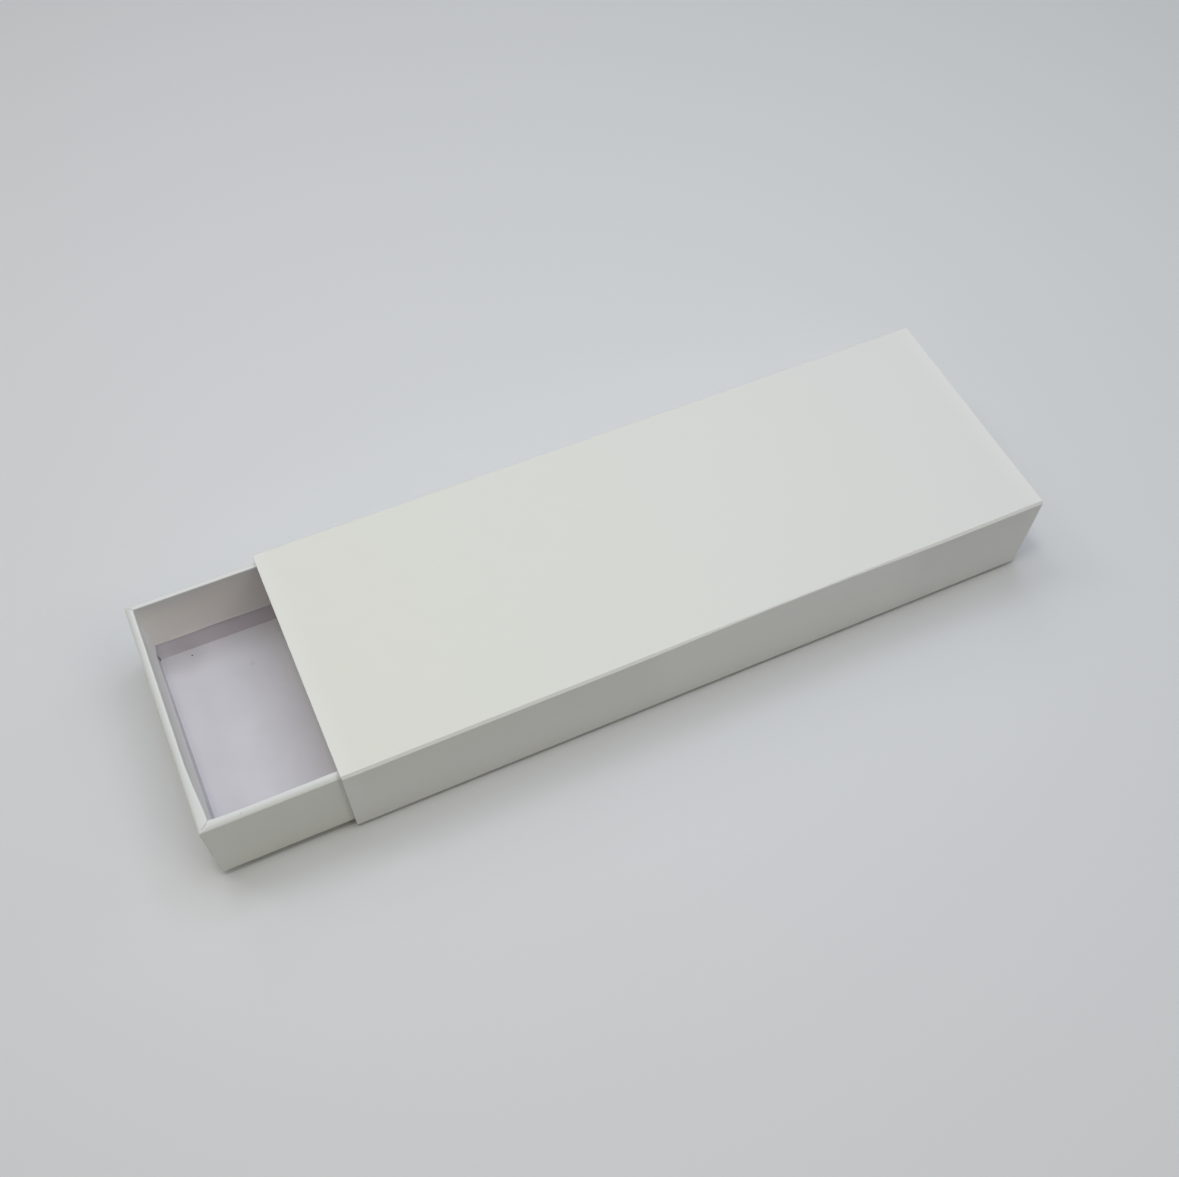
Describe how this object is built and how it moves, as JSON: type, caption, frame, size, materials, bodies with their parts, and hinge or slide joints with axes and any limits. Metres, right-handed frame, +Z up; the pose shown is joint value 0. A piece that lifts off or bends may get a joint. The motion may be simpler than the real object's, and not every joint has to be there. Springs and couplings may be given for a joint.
{
  "type": "drawer box",
  "caption": "Slim rectangular gift box for papers and keepsakes: a wrapped board tray slides lengthwise in a wrapped board sleeve that is open at both ends.",
  "frame": {"origin": "middle of the sleeve's underside, on the face that the box rests on", "axes": "+X along the box, away from the mouth that the tray stands out of; +Y to the back; +Z up out of the sleeve's top"},
  "size_m": [0.2347, 0.071, 0.0275],
  "materials": {
    "wrap_paper": "uncoated white wrapping paper, matte with a faint tooth",
    "lining_paper": "smooth white lining paper with a cool lavender cast",
    "greyboard": "raw recycled greyboard",
    "gummed_tape": "brown gummed kraft paper tape"
  },
  "bodies": {
    "sleeve": {"sleeve_top_board": "greyboard", "sleeve_bottom_board": "greyboard", "sleeve_front_board": "greyboard", "sleeve_back_board": "greyboard", "sleeve_wrap": "wrap_paper", "sleeve_lining": "lining_paper"},
    "tray": {"tray_base_board": "greyboard", "tray_front_board": "greyboard", "tray_back_board": "greyboard", "tray_left_end_board": "greyboard", "tray_right_end_board": "greyboard", "tray_front_left_tape": "gummed_tape", "tray_front_right_tape": "gummed_tape", "tray_back_left_tape": "gummed_tape", "tray_back_right_tape": "gummed_tape", "tray_wrap": "wrap_paper", "tray_lining": "lining_paper"}
  },
  "joints": [
    {"name": "tray_slide", "type": "slide", "parent": "sleeve", "child": "tray", "axis": [-1, 0, 0], "range_m": [-0.2342, 0.1642]}
  ]
}
